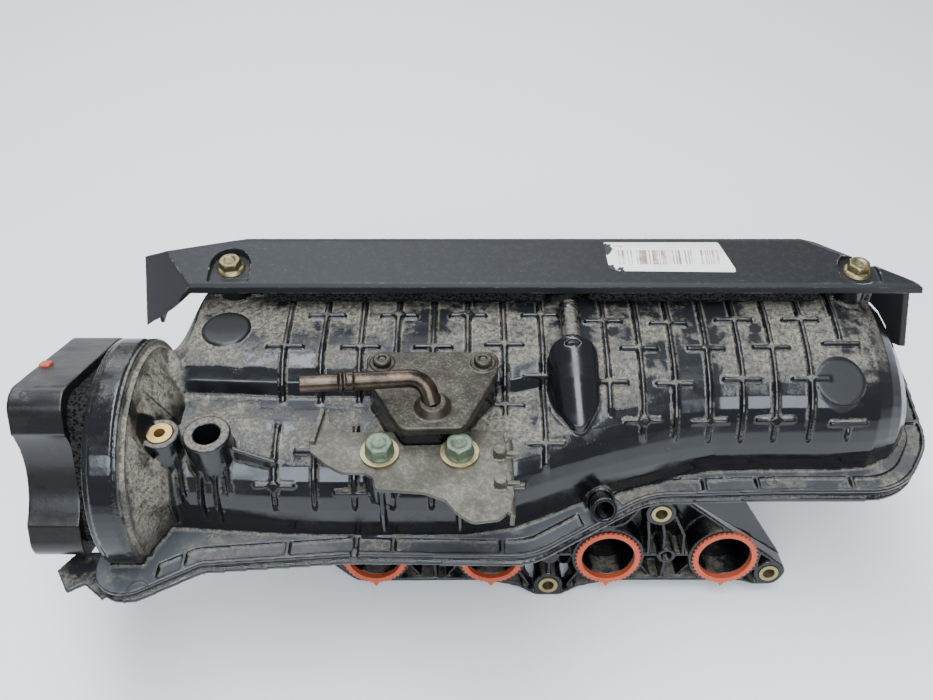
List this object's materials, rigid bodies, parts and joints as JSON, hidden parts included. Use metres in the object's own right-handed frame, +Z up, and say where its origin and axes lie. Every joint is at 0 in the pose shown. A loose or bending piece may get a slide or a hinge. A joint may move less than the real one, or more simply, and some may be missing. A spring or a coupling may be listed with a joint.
{
  "type": "intake manifold",
  "caption": "Welded plastic intake manifold with a ribbed plenum, curved runners to a sealed head flange, a side throttle flange, top cover, cast valve cap and hose nipples.",
  "frame": {"origin": "centre of the head-flange face on the port row, midway between ports 2 and 3", "axes": "+X along the port row away from the throttle end, +Y away from the cylinder head, +Z up along the draw direction of the upper plenum shell"},
  "size_m": [0.5792, 0.2329, 0.2375],
  "materials": {
    "black_nylon": "moulded, satin, dusty",
    "cover_nylon": "matt grey-black moulding",
    "silicone": "moulded orange silicone",
    "zinc_steel": "yellow zinc plated",
    "bracket_steel": "dull zinc plated sheet",
    "olive_zinc": "green-marked zinc plated",
    "cast": "dull brown-grey casting",
    "pipe_steel": "heat-browned steel",
    "brass_part": "machined",
    "foam": "open-cell charcoal foam",
    "seal_rubber": "matt",
    "paper_label": "worn white sticker"
  },
  "bodies": {
    "root": {"upper_shell": "black_nylon", "lower_shell": "black_nylon", "head_flange": "black_nylon", "runner_1": "black_nylon", "runner_2": "black_nylon", "runner_3": "black_nylon", "runner_4": "black_nylon", "runner_bellmouths": "black_nylon", "throttle_flange": "black_nylon", "throttle_gasket": "foam", "throttle_seal": "silicone", "throttle_inserts": "brass_part", "port_seal_1": "silicone", "port_seal_2": "silicone", "port_seal_3": "silicone", "port_seal_4": "silicone", "flange_sleeves": "zinc_steel", "service_cover": "cover_nylon", "foam_strip_left": "foam", "foam_strip_right": "foam", "cover_bolts": "zinc_steel", "cover_collars": "zinc_steel", "cover_inserts": "brass_part", "valve_cap": "cast", "valve_cap_gasket": "seal_rubber", "valve_cap_screws": "cast", "breather_pipe": "pipe_steel", "cable_bracket": "bracket_steel", "bracket_bolts": "olive_zinc", "bracket_washers": "zinc_steel", "bracket_inserts": "brass_part", "boss_insert": "brass_part", "vacuum_nipple": "black_nylon", "booster_nipple": "black_nylon", "label": "paper_label"}
  },
  "joints": []
}
